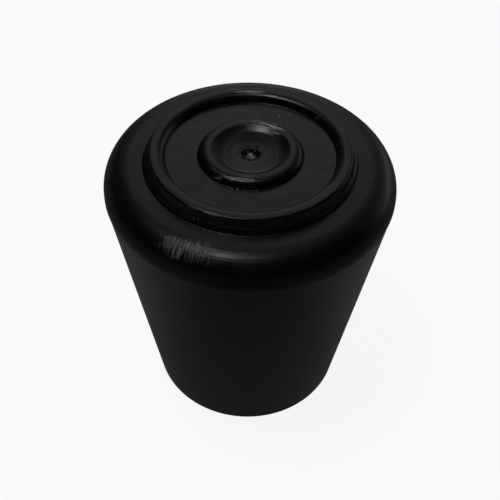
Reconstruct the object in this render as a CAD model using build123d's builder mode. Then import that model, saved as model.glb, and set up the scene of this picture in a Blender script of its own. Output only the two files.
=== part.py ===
"""Chair leg ferrule: the push-on foot of a tubular chair leg, moulded in one piece of black rubber.

The ferrule stands on the rim of its mouth with the tread facing up. The origin is at the centre of
the rim and +Z runs along the axis to the tread. Every surface is turned about that axis, so the
piece is one closed section revolved through a full circle.
"""

import os

from build123d import *

# Driving dimensions, in millimetres
height = 41.25  # rim of the mouth to the top of the tread
bead_radius = 19.0  # the widest circle, on the bead below the tread
bore_radius = 11.0  # takes the end of a 22 mm tube
mouth_wall = 2.6  # wall around the bore at the rim
end_thickness = 8.4  # solid rubber between the bore's end and the shoulder flat

# Bead and shoulder
shoulder_radius = 3.45  # rounded edge from the bead up to the shoulder flat
shoulder_flat = 1.75  # width of the flat between the rounded shoulder and the outer ring
bead_overhang = 0.06  # step from the cone out to the bead
bead_edge = 0.05  # rounding of the bead's lower edge
bead_band = 0.4  # upright stretch at the bead's widest

# Tread: two concentric rings with a recess between them
tread_height = 1.85  # outer ring above the shoulder flat
recess_rise = 0.78  # recess floor above the shoulder flat
inner_ring_drop = 0.05  # inner ring below the outer one
outer_ring_width = 1.6
inner_ring_outside = 6.4
inner_ring_width = 1.4
wall_lean = 0.4  # how far a wall of the recess leans from its top to its foot
outside_lean = 0.72  # the same for the outer ring's outside, without its ledge
ledge_drop = 1.05  # top of the tread down to the ledge around the outer ring
ledge_width = 0.2
ledge_fall = 0.12  # fall of the ledge over its width

# Dished cup inside the inner ring, with the moulding gate's dimple at its centre
cup_drop = 0.58  # top of the inner ring down to the foot of the cup's wall
cup_wall_run = 1.0  # how far the cup's wall runs in over that drop
bowl_run = 1.6  # outer part of the cup's floor, from the foot of the wall in
bowl_drop = 0.32  # fall over that run
cup_dish = 0.1  # fall from there to the dimple
gate_radius = 1.2
gate_floor_radius = 0.75
gate_depth = 0.45

# Rounded edges and corners
rim_outer_round = 1.3
rim_inner_round = 0.7
bore_corner = 1.5
recess_edge = 1.3  # the rings' edges beside the recess
ring_edge = 0.4  # their other edges
ring_corner = 0.12  # where a ring meets the recess floor
foot_corner = 0.1  # where the outer ring meets the shoulder flat
ledge_edge = 0.08
cup_corner = 2.5
bowl_corner = 6.0
gate_edge = 0.15

# Levels and radii that follow from them
shoulder_z = height - tread_height
bore_end_z = shoulder_z - end_thickness
bead_z = shoulder_z - shoulder_radius - bead_band - bead_edge
recess_z = shoulder_z + recess_rise
inner_ring_z = height - inner_ring_drop
ring_foot = bead_radius - shoulder_radius - shoulder_flat
outer_ring_outside = ring_foot - ledge_width - outside_lean
outer_ring_inside = outer_ring_outside - outer_ring_width
inner_ring_inside = inner_ring_outside - inner_ring_width


def outside_corners():
    """Cone, bead and shoulder, from the rim up. A corner is (radius, z, rounding)."""
    return [
        (bore_radius + mouth_wall, 0, rim_outer_round),
        (bead_radius - bead_overhang, bead_z, 0),
        (bead_radius, bead_z, bead_edge),
        (bead_radius, shoulder_z, shoulder_radius),
    ]


def outer_ring_corners():
    """Outer ring from its foot on the shoulder flat, over its ledge and top, to the recess floor."""
    ledge_z = height - ledge_drop
    ledge_radius = outer_ring_outside + outside_lean * ledge_drop / tread_height
    return [
        (ring_foot, shoulder_z, foot_corner),
        (ledge_radius + ledge_width, ledge_z - ledge_fall, ledge_edge),
        (ledge_radius, ledge_z, ledge_edge),
        (outer_ring_outside, height, ring_edge),
        (outer_ring_inside, height, recess_edge),
        (outer_ring_inside - wall_lean, recess_z, ring_corner),
    ]


def inner_ring_corners():
    """Inner ring from the recess floor up to its inner edge."""
    return [
        (inner_ring_outside + wall_lean, recess_z, ring_corner),
        (inner_ring_outside, inner_ring_z, recess_edge),
        (inner_ring_inside, inner_ring_z, ring_edge),
    ]


def cup_corners():
    """Dished cup and the gate's dimple, in to the axis."""
    cup_radius = inner_ring_inside - cup_wall_run
    cup_z = inner_ring_z - cup_drop
    bowl_z = cup_z - bowl_drop
    dimple_z = bowl_z - cup_dish
    return [
        (cup_radius, cup_z, cup_corner),
        (cup_radius - bowl_run, bowl_z, bowl_corner),
        (gate_radius, dimple_z, gate_edge),
        (gate_floor_radius, dimple_z - gate_depth, gate_edge),
        (0, dimple_z - gate_depth, 0),
    ]


def bore_corners():
    """Blind bore, from the axis out and down to the rim."""
    return [
        (0, bore_end_z, 0),
        (bore_radius, bore_end_z, bore_corner),
        (bore_radius, 0, rim_inner_round),
    ]


# The ferrule: one section, revolved
corners = (
    outside_corners()
    + outer_ring_corners()
    + inner_ring_corners()
    + cup_corners()
    + bore_corners()
)
with BuildPart() as ferrule:
    with BuildSketch(Plane.XZ):
        with BuildLine():
            FilletPolyline(
                *[(radius, z) for radius, z, rounding in corners],
                radius=[rounding for radius, z, rounding in corners],
                close=True,
            )
        make_face()
    revolve(axis=Axis.Z)

ferrule.part.label = "ferrule"

os.makedirs("parts", exist_ok=True)
export_step(ferrule.part, "parts/ferrule.step")

straight_bore = bore_end_z - bore_corner - rim_inner_round
print(f"bore {bore_end_z:.2f} deep, {straight_bore:.2f} of it straight, bead from {bead_z:.2f} up")
print(f"outer ring {outer_ring_inside:.2f} to {outer_ring_outside:.2f}, foot {ring_foot:.2f}")
print(f"shoulder flat at {shoulder_z:.2f}, volume {ferrule.part.volume:.0f} mm3")
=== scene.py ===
"""Looks of a chair leg ferrule in black moulded rubber: its skin, wear, floor, lights and camera.

The CAD node's own section is cut from the frame, given more points where it needs them, and turned
into a fine skin. The skin is then worn: unevenness along the tread rings, the torn gate mark in its
dimple, and a few nicks. The scuff, the scratch marks, the pale rubs and specks and the turned grain of
the tread are in the material. The scuff and the front rub are partly painted highlights, the far and
edge rubs are painted highlights, and the specks are painted glints. Lengths are in metres. Azimuths
are in degrees from +X, so the camera stands at -90.
"""

from math import cos, exp, hypot, pi, radians, sin

import bmesh
import bpy
from mathutils import Matrix, Vector, noise


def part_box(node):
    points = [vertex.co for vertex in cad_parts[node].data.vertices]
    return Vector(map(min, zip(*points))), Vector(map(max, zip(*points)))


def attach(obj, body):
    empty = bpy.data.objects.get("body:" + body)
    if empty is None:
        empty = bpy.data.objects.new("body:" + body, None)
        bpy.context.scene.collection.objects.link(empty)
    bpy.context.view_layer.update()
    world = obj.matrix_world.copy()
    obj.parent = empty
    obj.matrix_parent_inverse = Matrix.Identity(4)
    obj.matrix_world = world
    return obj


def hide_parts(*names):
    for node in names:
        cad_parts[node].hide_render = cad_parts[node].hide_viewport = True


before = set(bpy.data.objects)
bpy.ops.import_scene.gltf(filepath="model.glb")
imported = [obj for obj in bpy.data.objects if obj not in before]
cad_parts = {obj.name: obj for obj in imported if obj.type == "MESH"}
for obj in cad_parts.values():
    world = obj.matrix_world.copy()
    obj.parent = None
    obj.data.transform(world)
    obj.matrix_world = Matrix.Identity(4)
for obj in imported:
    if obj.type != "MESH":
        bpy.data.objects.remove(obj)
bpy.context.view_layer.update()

MM = 0.001
LOW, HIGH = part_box("ferrule")
HEIGHT = HIGH.z - LOW.z
RADIUS = HIGH.x
TUCK = min(HIGH.x, HIGH.y, -LOW.x, -LOW.y) / RADIUS  # keeps full circles inside the CAD facets

# Skin mesh
SPOKES = 320  # points around each circle
EDGE_GUARD = 0.05 * MM  # a circle this near each corner keeps the flats flat
FINE_STEP = 0.12 * MM  # along the section, round the gate mark
SHOWN_STEP = 1.2 * MM  # elsewhere on the outside
HIDDEN_STEP = 5.0 * MM  # in the bore
GATE_AREA = 1.6 * MM  # radius round the axis that has the finest mesh
LONG_RUN = 6 * EDGE_GUARD  # a run longer than this is divided
WELD = 1e-7  # vertices this close are one
ON_AXIS = 1e-6  # a point this near the axis is on it
STRAIGHT = 1e-3  # radians that a straight run may turn by

# Zones of the section, for the materials
TREAD_LEVEL = HIGH.z - 2.1 * MM  # above this lie the tread and the shoulder's flat
TREAD_FADE = 2.4 * MM  # below it, over which the unevenness fades in
TREAD_REACH = 14.2 * MM  # outer radius of the turned grain


def at(azimuth, radius, z):
    """Point at an azimuth in degrees, a radius and a height, the last two in millimetres."""
    turn = radians(azimuth)
    return Vector((radius * cos(turn), radius * sin(turn), z)) * MM


# --- Skin: the section and its turning ---------------------------------------------------------


def cut_section(node):
    """Half section of a turned node as (radius, z) points, from its bore's end out to its tread."""
    cut = bmesh.new()
    cut.from_mesh(node.data)
    bmesh.ops.remove_doubles(cut, verts=cut.verts, dist=WELD)
    everything = cut.verts[:] + cut.edges[:] + cut.faces[:]
    bmesh.ops.bisect_plane(
        cut, geom=everything, dist=WELD, plane_co=(0, 0, 0), plane_no=(0, 1, 0),
        clear_inner=True, clear_outer=True,
    )

    def beyond(vertex, came):
        return [e.other_vert(vertex) for e in vertex.link_edges if e.other_vert(vertex) is not came]

    right = [v for v in cut.verts if v.co.x > ON_AXIS]
    crossings = [v for v in right if any(w.co.x <= ON_AXIS for w in beyond(v, None))]
    bore_end = min(crossings, key=lambda v: v.co.z if v.co.z > HEIGHT / 2 else HEIGHT)
    came = next(w for w in beyond(bore_end, None) if w.co.x <= ON_AXIS)
    walk = [bore_end]
    while walk[-1].co.x > ON_AXIS:
        ahead = beyond(walk[-1], came)[0]
        came = walk[-1]
        walk.append(ahead)
    points = [Vector((0, bore_end.co.z))] + [v.co.xz for v in walk[:-1]]
    points.append(Vector((0, points[-1].y)))
    cut.free()
    return points


def corners_only(points):
    """The points without those that lie along a straight run."""
    kept = [points[0]]
    for here, ahead in zip(points[1:-1], points[2:]):
        if (here - kept[-1]).angle(ahead - here) > STRAIGHT:
            kept.append(here)
    return kept + [points[-1]]


def filled(points):
    """The section with guards beside its corners and long runs divided."""
    rows = [points[0]]
    in_bore = True
    for start, end in zip(points, points[1:]):
        run = (end - start).length
        in_bore = in_bore and start.y > LOW.z + EDGE_GUARD
        step = HIDDEN_STEP if in_bore else SHOWN_STEP
        if start.x < GATE_AREA and not in_bore:
            step = FINE_STEP
        stops = []
        if run > LONG_RUN:
            count = max(1, round(run / step))
            stops = [EDGE_GUARD / run]
            stops += [k / count for k in range(1, count)]
            stops += [1 - EDGE_GUARD / run]
        rows += [start.lerp(end, share) for share in stops] + [end]
    return rows


def outward_normals(rows):
    """Unit normals of the section, pointing out of the rubber."""
    normals = []
    for index in range(len(rows)):
        before = rows[max(index - 1, 0)]
        after = rows[min(index + 1, len(rows) - 1)]
        along = (after - before).normalized()
        normals.append(Vector((along.y, -along.x)))
    return normals


# --- Wear --------------------------------------------------------------------------------------

WEAR_LEVEL = 0.8 * HEIGHT  # nothing below this is moved

UNEVEN_DEPTH = 0.035 * MM
UNEVEN_SIZE = 3.5 * MM
GRAIN_DEPTH = 0.012 * MM
GRAIN_SIZE = 0.7 * MM

GATE_REACH = 1.35 * MM
GATE_NUB = 0.50 * MM  # height of the torn nub over the dimple's floor
GATE_NUB_RADIUS = 0.68 * MM
GATE_NUB_FULLNESS = 0.7  # a power; under 1 makes the nub fuller than a parabola
GATE_TEAR = 0.30 * MM
GATE_TEAR_SIZE = 0.45 * MM
GATE_TEAR_MEAN = 0.35  # taken off the tear's noise, so it both rises and sinks

NICK_REACH = 2.5  # half widths at which a nick has faded out
NICK_RAGGED = 0.5
NICK_RAGGED_SIZE = 0.25 * MM

# Nicks and burrs: centre, half width and depth, where a negative depth stands proud
NICKS = [
    (at(-118, 13.5, 40.15), 0.26 * MM, 0.12 * MM),
    (at(-116.5, 13.35, 40.3), 0.16 * MM, -0.07 * MM),
    (at(174, 9.65, 40.18), 0.25 * MM, 0.07 * MM),
    (at(171, 9.2, 40.18), 0.18 * MM, 0.05 * MM),
    (at(-127, 9.0, 40.18), 0.40 * MM, 0.05 * MM),
    (at(59, 9.8, 40.18), 0.25 * MM, -0.10 * MM),
    (at(66, 8.9, 40.18), 0.40 * MM, -0.07 * MM),
    (at(40, 11.1, 40.8), 0.22 * MM, -0.10 * MM),
    (at(8, 11.15, 40.8), 0.22 * MM, -0.10 * MM),
    (at(-103, 6.8, 40.2), 0.30 * MM, -0.16 * MM),
    (at(-96, 13.5, 40.1), 0.25 * MM, 0.05 * MM),
    (at(-70, 12.7, 41.1), 0.35 * MM, 0.05 * MM),
    (at(-141, 12.7, 41.1), 0.35 * MM, 0.05 * MM),
]


def ring_unevenness(point):
    """Depth of the moulding's slight unevenness, never above the true surface."""
    wide = noise.noise(point / UNEVEN_SIZE)
    fine = noise.noise(point / GRAIN_SIZE)
    return UNEVEN_DEPTH * (0.5 + 0.5 * wide) + GRAIN_DEPTH * (0.5 + 0.5 * fine)


def gate_height(point):
    """Height of the torn gate mark over the dimple it stands in."""
    reach = hypot(point.x, point.y)
    if reach > GATE_REACH:
        return 0
    fade = 1 - (reach / GATE_REACH) ** 2
    nub = GATE_NUB * max(0, 1 - (reach / GATE_NUB_RADIUS) ** 2) ** GATE_NUB_FULLNESS
    tear = noise.turbulence(point / GATE_TEAR_SIZE, 3, False) - GATE_TEAR_MEAN
    return fade * (nub + GATE_TEAR * tear)


def nick_depth(point):
    """Depth that the nicks near a point take from it, less what the burrs add."""
    total = 0
    for centre, half_width, depth in NICKS:
        away = (point - centre).length / half_width
        if away < NICK_REACH:
            ragged = 1 + NICK_RAGGED * noise.noise(point / NICK_RAGGED_SIZE)
            total += depth * ragged * exp(-away * away)
    return total


def worn(point, normal):
    """A point of the skin after moulding and wear."""
    if point.z < WEAR_LEVEL:
        return point
    sunk = nick_depth(point)
    risen = min(max((point.z - TREAD_LEVEL + TREAD_FADE) / TREAD_FADE, 0), 1)
    sunk += ring_unevenness(point) * risen**2 * (3 - 2 * risen)
    moved = point - normal * sunk
    moved.z += gate_height(point)
    return moved


def make_skin():
    """The ferrule's skin, one closed mesh."""
    rows = filled(corners_only(cut_section(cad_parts["ferrule"])))
    normals = outward_normals(rows)
    turns = [2 * pi * k / SPOKES for k in range(SPOKES)]
    vertices = []
    for row, normal in zip(rows[1:-1], normals[1:-1]):
        for turn in turns:
            point = Vector((row.x * TUCK * cos(turn), row.x * TUCK * sin(turn), row.y))
            out = Vector((normal.x * cos(turn), normal.x * sin(turn), normal.y))
            vertices.append(worn(point, out))
    faces = []
    for ring in range(len(rows) - 3):
        for k in range(SPOKES):
            ahead = (k + 1) % SPOKES
            a, b = ring * SPOKES + k, ring * SPOKES + ahead
            faces.append((a, b, b + SPOKES, a + SPOKES))
    bore_centre = len(vertices)
    vertices.append(Vector((0, 0, rows[0].y)))
    top_centre = len(vertices)
    top = Vector((0, 0, rows[-1].y))
    vertices.append(worn(top, Vector((0, 0, 1))))
    last = (len(rows) - 3) * SPOKES
    for k in range(SPOKES):
        ahead = (k + 1) % SPOKES
        faces.append((bore_centre, ahead, k))
        faces.append((top_centre, last + k, last + ahead))
    mesh = bpy.data.meshes.new("ferrule_skin")
    mesh.from_pydata([v[:] for v in vertices], [], faces)
    mesh.validate()
    tidy = bmesh.new()
    tidy.from_mesh(mesh)
    bmesh.ops.recalc_face_normals(tidy, faces=tidy.faces)
    tidy.to_mesh(mesh)
    tidy.free()
    mesh.shade_smooth()
    skin = bpy.data.objects.new("ferrule_skin", mesh)
    bpy.context.scene.collection.objects.link(skin)
    return skin


# --- Materials ---------------------------------------------------------------------------------

# A patch fades by the distance from its middle, in its half sizes, with its raggedness added
PATCH_GRAIN = 2.0
PATCH_RAGGED = 0.7
PATCH_FULL = 0.55  # full up to here
PATCH_GONE = 1.35  # and gone from here

STREAK_ALONG = 0.8
STREAK_FROM = 0.47  # noise level at which a streak starts
STREAK_FULL = 0.61  # and is full

X_AXIS = Vector((1, 0, 0))
Y_AXIS = Vector((0, 1, 0))

# Some of these pale places are scratch marks and some are painted highlights.
# Pale places: centre, direction along, direction across, half sizes, fineness of streaks, paleness
# Scuff on the shoulder: scratch marks, and its paleness also paints the shoulder's highlight.
SCUFF_AND_HIGHLIGHT = (
    at(-114.5, 17.15, 39.0), Vector((0.3, 0.88, 0.43)), Vector((0.93, -0.35, 0)),
    Vector((1.9, 4.6, 2.2)) * MM, 34, 0.78,
)
FLOW = (
    at(62, 5.5, 41.2), Vector((0.92, -0.4, 0)), Vector((0.4, 0.92, 0)),
    Vector((3.2, 2.4, 1.6)) * MM, 4.5, 1.0,
)
# Rub on the inner ring's front top: scratch lines with a painted highlight.
FRONT_RUB_AND_HIGHLIGHT = (
    at(-99, 5.7, 41.2), Vector((1, -0.1, 0)), Y_AXIS,
    Vector((3.0, 0.8, 0.8)) * MM, 2.4, 0.55,
)
# Painted highlight along the top of the outer ring's far side.
FAR_PAINTED_HIGHLIGHT = (
    at(92, 12.2, 41.2), X_AXIS, Y_AXIS,
    Vector((3.8, 0.9, 0.9)) * MM, 1.2, 0.9,
)
# Painted highlight along the outer ring's near-left top edge.
EDGE_PAINTED_HIGHLIGHT = (
    at(-114, 12.75, 41.1), Vector((0.91, -0.41, 0)), Vector((0.41, 0.91, 0)),
    Vector((3.2, 0.25, 0.5)) * MM, 2, 0.5,
)
SHORT_CUT = (
    at(-127, 6.5, 40.8), Vector((0.9, -0.5, 0)), Vector((0.5, 0.9, 0)),
    Vector((1.0, 0.35, 0.7)) * MM, 3, 0.5,
)

# Pale specks painted as glints on the burrs and nicks: centre and half width
PAINTED_GLINTS = [
    (at(66, 8.9, 40.2), 0.34 * MM),
    (at(59, 9.8, 40.2), 0.28 * MM),
    (at(40, 11.0, 40.7), 0.22 * MM),
    (at(8, 11.0, 40.7), 0.22 * MM),
    (at(-103, 6.8, 40.25), 0.28 * MM),
    (at(-84, 6.8, 40.25), 0.18 * MM),
    (at(-117, 13.4, 40.2), 0.20 * MM),
    (at(-127, 9.0, 40.2), 0.18 * MM),
]
GLINT_ALONG = Vector((1, 0.3, 0))
GLINT_PALENESS = 0.3

GATE_MIDDLE = at(0, 0, 40.2)
GATE_TORN = 0.95 * MM  # half width of the torn place
GATE_TORN_GRAIN = 2600
GATE_TORN_SPAN = (0.36, 0.52)  # noise levels from whole to torn
PALE_TORN_AND_HIGHLIGHT = (0.50, 0.50, 0.51)  # torn rubber, and the colour of the scratch marks, painted highlights and painted glints

MOTTLE_GRAIN = 420
MOTTLE_LIGHTER = 1.9  # the mottle's colour over the rubber's
MOTTLE_SHARE = 0.5  # the most of that colour that is mixed in
MOTTLE_TINT_SPAN = (0.35, 0.75)  # noise levels over which it is
MOTTLE_ROUGH_SPAN = (0.3, 0.7)  # noise levels over which the roughness swings
PORE_GRAIN = 5200
PORE_DEPTH = 0.0035 * MM
SCRATCH_DEPTH = 0.022 * MM
SCUFF_ROUGHER = 0.06
RING_GRAIN = 3600
RING_DEPTH = 0.012 * MM
RING_ANISOTROPY = 0.6
RUBBER_IOR = 1.5
SPECULAR = 0.45

# The two kinds of rubber. A z_scale under 1 draws the mottle out along Z.
OUTSIDE = {
    "name": "moulded_rubber", "colour": (0.0042, 0.0040, 0.0042), "roughness": 0.33,
    "swing": 0.015, "z_scale": 0.2, "mottle_depth": 0.006 * MM, "turned": False,
}
TREAD = {
    "name": "tread_rubber", "colour": (0.0042, 0.0041, 0.0052), "roughness": 0.27,
    "swing": 0.05, "z_scale": 1, "mottle_depth": 0.030 * MM, "turned": True,
}


class Nodes:
    """Short calls for building one node tree."""

    def __init__(self, tree):
        self.tree = tree

    def add(self, kind, **settings):
        node = self.tree.nodes.new(kind)
        for name, value in settings.items():
            setattr(node, name, value)
        return node

    def put(self, socket, value):
        if isinstance(value, bpy.types.NodeSocket):
            self.tree.links.new(value, socket)
        else:
            socket.default_value = value

    def math(self, operation, first, second=0.0):
        node = self.add("ShaderNodeMath", operation=operation)
        self.put(node.inputs[0], first)
        self.put(node.inputs[1], second)
        return node.outputs[0]

    def vector(self, operation, first, second):
        node = self.add("ShaderNodeVectorMath", operation=operation)
        self.put(node.inputs[0], first)
        self.put(node.inputs[1], second)
        return node.outputs

    def length(self, vector):
        node = self.add("ShaderNodeVectorMath", operation="LENGTH")
        self.put(node.inputs[0], vector)
        return node.outputs["Value"]

    def place(self, kind):
        """Texture coordinates of a kind."""
        return self.add("ShaderNodeTexCoord").outputs[kind]

    def split(self, vector):
        node = self.add("ShaderNodeSeparateXYZ")
        self.put(node.inputs[0], vector)
        return node.outputs

    def mix(self, share, first, second):
        """Colour between the first and the second."""
        node = self.add("ShaderNodeMix", data_type="RGBA")
        self.put(node.inputs["Factor"], share)
        self.put(node.inputs["A"], first)
        self.put(node.inputs["B"], second)
        return node.outputs["Result"]

    def span(self, value, low, high, to_low, to_high):
        """value mapped smoothly from low..high to to_low..to_high."""
        node = self.add("ShaderNodeMapRange", interpolation_type="SMOOTHSTEP")
        for socket, item in zip(node.inputs[:5], (value, low, high, to_low, to_high)):
            self.put(socket, item)
        return node.outputs[0]

    def noise(self, vector, scale, detail=2.0, roughness=0.5):
        node = self.add("ShaderNodeTexNoise")
        self.put(node.inputs["Vector"], vector)
        self.put(node.inputs["Scale"], scale)
        self.put(node.inputs["Detail"], detail)
        self.put(node.inputs["Roughness"], roughness)
        return node.outputs["Fac"]

    def local(self, position, centre, along, across, size):
        """position in a patch's own frame: X runs along it, Y across, in half sizes of the patch."""
        x_axis = along.normalized()
        z_axis = x_axis.cross(across).normalized()
        y_axis = z_axis.cross(x_axis)
        joined = self.add("ShaderNodeCombineXYZ")
        for socket, axis, half in zip(joined.inputs, (x_axis, y_axis, z_axis), size):
            dot = self.vector("DOT_PRODUCT", position, axis)["Value"]
            shifted = self.math("SUBTRACT", dot, axis.dot(centre))
            self.put(socket, self.math("DIVIDE", shifted, half))
        return joined.outputs[0]

    def patch(self, local):
        """1 in the middle of a patch, fading to 0 at its ragged edge."""
        ragged = self.math("MULTIPLY", self.noise(local, PATCH_GRAIN), PATCH_RAGGED)
        away = self.math("ADD", self.length(local), ragged)
        return self.span(away, PATCH_FULL, PATCH_GONE, 1.0, 0.0)

    def streaks(self, local, fineness):
        """Fine streaks along a patch's X, as scratch marks and as the grain of painted highlights."""
        stretched = self.vector("MULTIPLY", local, (STREAK_ALONG, fineness, STREAK_ALONG))["Vector"]
        grain = self.noise(stretched, 1.0, 3.0, 0.6)
        return self.span(grain, STREAK_FROM, STREAK_FULL, 0.0, 1.0)


def scratched_and_highlighted(nodes, position):
    """How pale the scratch marks, rubs, painted highlights and painted glints make each point, from 0
    to 1.
    """
    scratches_and_highlights = 0.0
    for centre, along, across, half_sizes, fineness, paleness in (
        SCUFF_AND_HIGHLIGHT, FLOW, FRONT_RUB_AND_HIGHLIGHT, FAR_PAINTED_HIGHLIGHT, EDGE_PAINTED_HIGHLIGHT, SHORT_CUT,
    ):
        local = nodes.local(position, centre, along, across, half_sizes)
        lines = nodes.math("MULTIPLY", nodes.streaks(local, fineness), nodes.patch(local))
        lines = nodes.math("MULTIPLY", lines, paleness)
        scratches_and_highlights = nodes.math("MAXIMUM", scratches_and_highlights, lines)
    for centre, half_width in PAINTED_GLINTS:
        local = nodes.local(position, centre, GLINT_ALONG, Y_AXIS, [half_width] * 3)
        glint = nodes.math("MULTIPLY", nodes.patch(local), GLINT_PALENESS)
        scratches_and_highlights = nodes.math("MAXIMUM", scratches_and_highlights, glint)
    return scratches_and_highlights


def gate_torn(nodes, position):
    """How torn the gate mark is at each point, from 0 to 1."""
    mask = nodes.patch(nodes.local(position, GATE_MIDDLE, X_AXIS, Y_AXIS, [GATE_TORN] * 3))
    grain = nodes.noise(position, GATE_TORN_GRAIN, 2.0, 0.6)
    return nodes.math("MULTIPLY", mask, nodes.span(grain, *GATE_TORN_SPAN, 0.0, 1.0))


def turned_rings(nodes, position):
    """Height of the fine rings that a lathe left in the mould."""
    parts = nodes.split(position)
    x_squared = nodes.math("POWER", parts["X"], 2.0)
    y_squared = nodes.math("POWER", parts["Y"], 2.0)
    radius = nodes.math("SQRT", nodes.math("ADD", x_squared, y_squared))
    rings = nodes.add("ShaderNodeTexNoise", noise_dimensions="1D")
    nodes.put(rings.inputs["W"], radius)
    nodes.put(rings.inputs["Scale"], RING_GRAIN)
    nodes.put(rings.inputs["Detail"], 2.0)
    return nodes.math("MULTIPLY", rings.outputs["Fac"], RING_DEPTH)


def rubber(kind):
    """Black moulded rubber of one of the two kinds."""
    material = bpy.data.materials.new(kind["name"])
    material.use_nodes = True
    black = (*kind["colour"], 1)
    material.diffuse_color = black
    nodes = Nodes(material.node_tree)
    shader = material.node_tree.nodes["Principled BSDF"]
    position = nodes.place("Object")
    scratches_and_highlights = scratched_and_highlighted(nodes, position)
    drawn = nodes.vector("MULTIPLY", position, (1, 1, kind["z_scale"]))["Vector"]
    mottle = nodes.noise(drawn, MOTTLE_GRAIN, 4.0, 0.6)

    smooth, rough = kind["roughness"] - kind["swing"], kind["roughness"] + kind["swing"]
    uneven = nodes.span(mottle, *MOTTLE_ROUGH_SPAN, smooth, rough)
    centre, along, across, half_sizes = SCUFF_AND_HIGHLIGHT[:4]
    scuffed = nodes.patch(nodes.local(position, centre, along, across, half_sizes))
    uneven = nodes.math("ADD", uneven, nodes.math("MULTIPLY", scuffed, SCUFF_ROUGHER))
    nodes.put(shader.inputs["Roughness"], uneven)

    lighter = (*[part * MOTTLE_LIGHTER for part in kind["colour"]], 1)
    share = nodes.span(mottle, *MOTTLE_TINT_SPAN, 0, MOTTLE_SHARE)
    tint = nodes.mix(share, black, lighter)
    # Pale: torn rubber at the gate, scratch marks, painted highlights and painted glints.
    pale = nodes.math("MAXIMUM", gate_torn(nodes, position), scratches_and_highlights)
    nodes.put(shader.inputs["Base Color"], nodes.mix(pale, tint, (*PALE_TORN_AND_HIGHLIGHT, 1)))

    pores = nodes.math("MULTIPLY", nodes.noise(position, PORE_GRAIN), PORE_DEPTH)
    height = nodes.math("ADD", nodes.math("MULTIPLY", mottle, kind["mottle_depth"]), pores)
    height = nodes.math("SUBTRACT", height, nodes.math("MULTIPLY", scratches_and_highlights, SCRATCH_DEPTH))
    if kind["turned"]:
        height = nodes.math("ADD", height, turned_rings(nodes, position))
        nodes.put(shader.inputs["Anisotropic"], RING_ANISOTROPY)
        tangent = nodes.add("ShaderNodeTangent", direction_type="RADIAL", axis="Z")
        nodes.put(shader.inputs["Tangent"], tangent.outputs[0])
    bump = nodes.add("ShaderNodeBump")
    nodes.put(bump.inputs["Strength"], 1.0)
    nodes.put(bump.inputs["Distance"], 1.0)
    nodes.put(bump.inputs["Height"], height)
    nodes.put(shader.inputs["Normal"], bump.outputs[0])
    nodes.put(shader.inputs["IOR"], RUBBER_IOR)
    nodes.put(shader.inputs["Specular IOR Level"], SPECULAR)
    return material


def dress(skin):
    """Outside and bore in moulded rubber, tread in its turned kind."""
    skin.data.materials.append(rubber(OUTSIDE))
    skin.data.materials.append(rubber(TREAD))
    for face in skin.data.polygons:
        centre = face.center
        on_tread = centre.z > TREAD_LEVEL and hypot(centre.x, centre.y) < TREAD_REACH
        face.material_index = int(on_tread)


# --- Studio ------------------------------------------------------------------------------------

FLOOR_SIDE = 3.0
FLOOR_DROP = 0.01 * MM
FLOOR_COLOUR = (0.26, 0.26, 0.255, 1)
FLOOR_LIFT = 0.90  # added where the camera sees it, which brings it near white
FLOOR_NEAR = 0.085  # what a reflection sees beside the ferrule
FLOOR_FAR = 0.045  # and further off
FLOOR_FADE = (1.6 * RADIUS, 3.0 * RADIUS)  # distances over which near turns to far
FLOOR_SIDES = 1.7  # how much brighter it is to the left and right
FLOOR_SIDE_FADE = (0.8 * RADIUS, 1.9 * RADIUS)
FLOOR_TINT = (1, 0.98, 0.90, 1)


def mirrored_level(nodes):
    """How bright the floor is to a reflection."""
    position = nodes.place("Object")
    level = nodes.span(nodes.length(position), *FLOOR_FADE, FLOOR_NEAR, FLOOR_FAR)
    aside = nodes.math("ABSOLUTE", nodes.split(position)["X"])
    return nodes.math("MULTIPLY", level, nodes.span(aside, *FLOOR_SIDE_FADE, 1.0, FLOOR_SIDES))


def add_floor():
    """Pale paper: nearly white to the camera, with the shadow on it, and dimmer in reflections."""
    mesh = bpy.data.meshes.new("floor")
    half = FLOOR_SIDE / 2
    corners = [(-half, -half), (half, -half), (half, half), (-half, half)]
    mesh.from_pydata([(x, y, LOW.z - FLOOR_DROP) for x, y in corners], [], [(0, 1, 2, 3)])
    floor = bpy.data.objects.new("floor", mesh)
    bpy.context.scene.collection.objects.link(floor)
    material = bpy.data.materials.new("floor_paper")
    material.use_nodes = True
    nodes = Nodes(material.node_tree)
    material.node_tree.nodes.remove(material.node_tree.nodes["Principled BSDF"])
    paper = nodes.add("ShaderNodeBsdfDiffuse")
    nodes.put(paper.inputs["Color"], FLOOR_COLOUR)
    ray = nodes.add("ShaderNodeLightPath").outputs
    lift = nodes.add("ShaderNodeEmission")
    nodes.put(lift.inputs["Strength"], nodes.math("MULTIPLY", ray["Is Camera Ray"], FLOOR_LIFT))
    lit = nodes.add("ShaderNodeAddShader")
    nodes.put(lit.inputs[0], paper.outputs[0])
    nodes.put(lit.inputs[1], lift.outputs[0])
    mirrored = nodes.add("ShaderNodeEmission")
    nodes.put(mirrored.inputs["Color"], FLOOR_TINT)
    nodes.put(mirrored.inputs["Strength"], mirrored_level(nodes))
    both = nodes.add("ShaderNodeMixShader")
    bounced = nodes.math("MAXIMUM", ray["Is Glossy Ray"], ray["Is Transmission Ray"])
    nodes.put(both.inputs["Fac"], bounced)
    nodes.put(both.inputs[1], lit.outputs[0])
    nodes.put(both.inputs[2], mirrored.outputs[0])
    nodes.put(material.node_tree.nodes["Material Output"].inputs["Surface"], both.outputs[0])
    mesh.materials.append(material)


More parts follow.
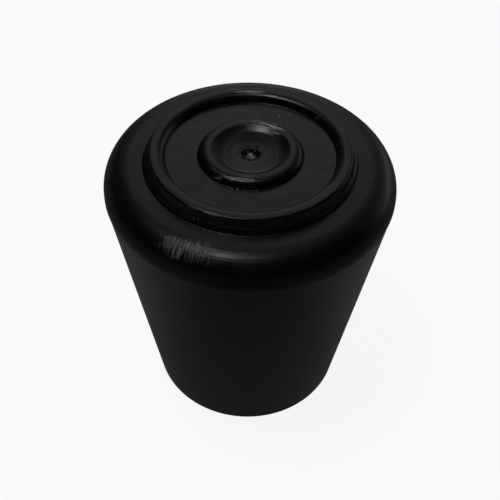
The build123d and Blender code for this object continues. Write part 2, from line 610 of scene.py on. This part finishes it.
# The world's light. Each span runs over one part of the direction that the light comes from.
BACK_DIM = 0.025
BACK_LIGHT = 0.155
BACK_SPAN = (-0.3, 0.75)  # over Y, from dim in front to light behind
BACK_MIDDLE = 0.05  # the X that the light behind is centred on
BACK_WIDTH = (0.20, 0.70)  # over X, from full to its share at the sides
BACK_ASIDE = 0.15

BACK_GLOW = 0.5
GLOW_WIDTH = (0.02, 0.34)
GLOW_SPAN = (0.0, 0.5)
HORIZON = 3.0  # a higher power keeps the glow and the right light nearer the horizon

RIGHT_LIGHT = 0.80
RIGHT_WIDTH = (0.40, 0.75)
RIGHT_SPAN = (0.10, 0.60)


def add_world():
    """A studio that is light behind the ferrule and to its right, dim in front, white to the camera."""
    world = bpy.data.worlds.new("studio")
    bpy.context.scene.world = world
    world.use_nodes = True
    nodes = Nodes(world.node_tree)
    background = world.node_tree.nodes["Background"]
    way = nodes.split(nodes.place("Generated"))

    aside = nodes.math("ABSOLUTE", nodes.math("SUBTRACT", way["X"], BACK_MIDDLE))
    behind = nodes.span(way["Y"], *BACK_SPAN, BACK_DIM, BACK_LIGHT)
    behind = nodes.math("MULTIPLY", behind, nodes.span(aside, *BACK_WIDTH, 1.0, BACK_ASIDE))

    low = nodes.math("SUBTRACT", 1.0, nodes.math("ABSOLUTE", way["Z"]))
    low = nodes.math("POWER", low, HORIZON)
    narrow = nodes.span(nodes.math("ABSOLUTE", way["X"]), *GLOW_WIDTH, 1.0, 0.0)
    ahead = nodes.span(way["Y"], *GLOW_SPAN, 0.0, BACK_GLOW)
    glow = nodes.math("MULTIPLY", nodes.math("MULTIPLY", low, narrow), ahead)

    right = nodes.math("MULTIPLY", nodes.span(way["X"], *RIGHT_WIDTH, 0.0, RIGHT_LIGHT), low)
    right = nodes.math("MULTIPLY", right, nodes.span(way["Y"], *RIGHT_SPAN, 0.0, 1.0))

    light = nodes.math("ADD", nodes.math("ADD", behind, glow), right)
    ray = nodes.add("ShaderNodeLightPath").outputs
    nodes.put(background.inputs["Strength"], nodes.math("MAXIMUM", light, ray["Is Camera Ray"]))
    nodes.put(background.inputs["Color"], (1, 1, 1, 1))


def softbox(name, azimuth, elevation, distance, size, radiance):
    """A square lamp facing the ferrule's middle."""
    lamp = bpy.data.lights.new(name, "AREA")
    lamp.shape = "SQUARE"
    lamp.size = size
    lamp.energy = radiance * pi * size**2
    box = bpy.data.objects.new(name, lamp)
    turn, lift = radians(azimuth), radians(elevation)
    way = Vector((cos(lift) * cos(turn), cos(lift) * sin(turn), sin(lift)))
    middle = Vector((0, 0, LOW.z + HEIGHT / 2))
    facing = way.to_track_quat("Z", "Y").to_matrix().to_4x4()
    box.matrix_world = Matrix.Translation(middle + way * distance) @ facing
    bpy.context.scene.collection.objects.link(box)


VIEW_ELEVATION = radians(46.44)
VIEW_DISTANCE = 6.354 * RADIUS
VIEW_TURN = radians(-0.115)
VIEW_ROLL = radians(1.295)
AIM_HEIGHT = 0.547 * HEIGHT
LENS = 61.2  # in millimetres, as the sensor is
SENSOR = 36
NEAREST = 5 * MM


def add_camera():
    """Camera in front of the ferrule, looking down at its tread."""
    camera = bpy.data.cameras.new("camera")
    camera.lens = LENS
    camera.sensor_width = SENSOR
    camera.clip_start = NEAREST
    back = VIEW_DISTANCE * cos(VIEW_ELEVATION)
    eye = Vector((0, -back, AIM_HEIGHT + VIEW_DISTANCE * sin(VIEW_ELEVATION)))
    turn = Matrix.Rotation(VIEW_TURN, 4, "Z")
    tilt = Matrix.Rotation(pi / 2 - VIEW_ELEVATION, 4, "X")
    roll = Matrix.Rotation(VIEW_ROLL, 4, "Z")
    holder = bpy.data.objects.new("camera", camera)
    holder.matrix_world = Matrix.Translation(eye) @ turn @ tilt @ roll
    bpy.context.scene.collection.objects.link(holder)
    bpy.context.scene.camera = holder


skin = make_skin()
dress(skin)
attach(skin, "root")
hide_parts("ferrule")

add_floor()
add_world()
softbox("overhead", azimuth=-166, elevation=76, distance=0.45, size=0.13, radiance=5.8)
softbox("back", azimuth=90, elevation=42, distance=0.9, size=0.4, radiance=0.25)
add_camera()
bpy.context.scene.view_settings.view_transform = "Standard"
